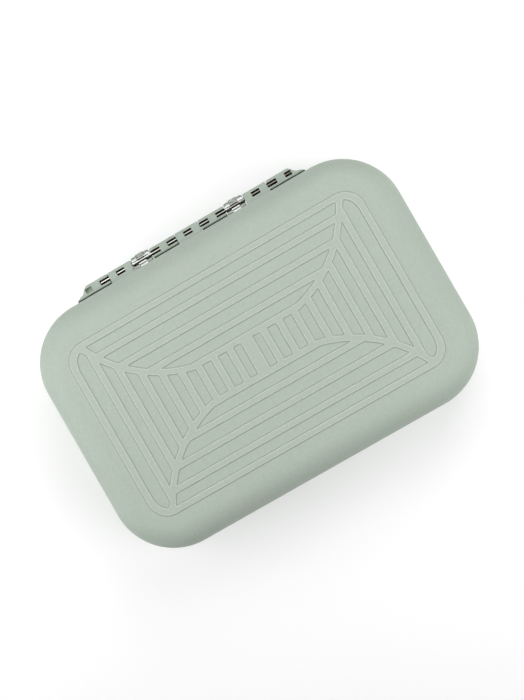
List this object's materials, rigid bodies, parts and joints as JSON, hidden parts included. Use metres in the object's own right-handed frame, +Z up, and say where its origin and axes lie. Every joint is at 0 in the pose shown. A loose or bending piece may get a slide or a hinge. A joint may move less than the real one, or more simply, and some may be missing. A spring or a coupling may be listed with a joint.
{
  "type": "fly box",
  "caption": "Pocket case for fishing flies: ribbed green half shells on a pinned rear hinge, with a clear swing leaf and slit mats inside.",
  "frame": {"origin": "centre of the flat underside of the base, below the middle of the case without its hinge", "axes": "+X along the hinge, +Y towards the hinge at the back, +Z up through the lid"},
  "size_m": [0.16, 0.113, 0.04],
  "materials": {
    "shell": "fine matte moulding grain, sage green",
    "cap": "matte sage green, thin moulded cap",
    "clear_leaf": "clear moulded polycarbonate",
    "pin_steel": "drawn stainless rod",
    "mat": "matte silicone with slit ridges",
    "film": "white adhesive film",
    "magnet": "nickel plated"
  },
  "bodies": {
    "base": {"base_shell": "shell", "hinge_pin": "pin_steel", "base_mat": "mat", "base_mat_film": "film", "base_magnets": "magnet", "base_magnet_caps": "cap"},
    "lid": {"lid_shell": "shell", "lid_mat": "mat", "lid_mat_film": "film", "lid_magnets": "magnet", "lid_magnet_caps": "cap"},
    "leaf": {"swing_leaf": "clear_leaf", "leaf_upper_mat": "mat", "leaf_upper_film": "film", "leaf_lower_mat": "mat", "leaf_lower_film": "film"}
  },
  "joints": [
    {"name": "lid_hinge", "type": "hinge", "parent": "base", "child": "lid", "pos_m": [0, 0.0569, 0.02], "axis": [-1, 0, 0], "range_deg": [0, 180]},
    {"name": "leaf_hinge", "type": "hinge", "parent": "base", "child": "leaf", "pos_m": [0, 0.0569, 0.02], "axis": [-1, 0, 0], "range_deg": [0, 90]}
  ],
  "couplings": [
    {"joint": "leaf_hinge", "follows": "lid_hinge", "ratio": 0.5}
  ]
}
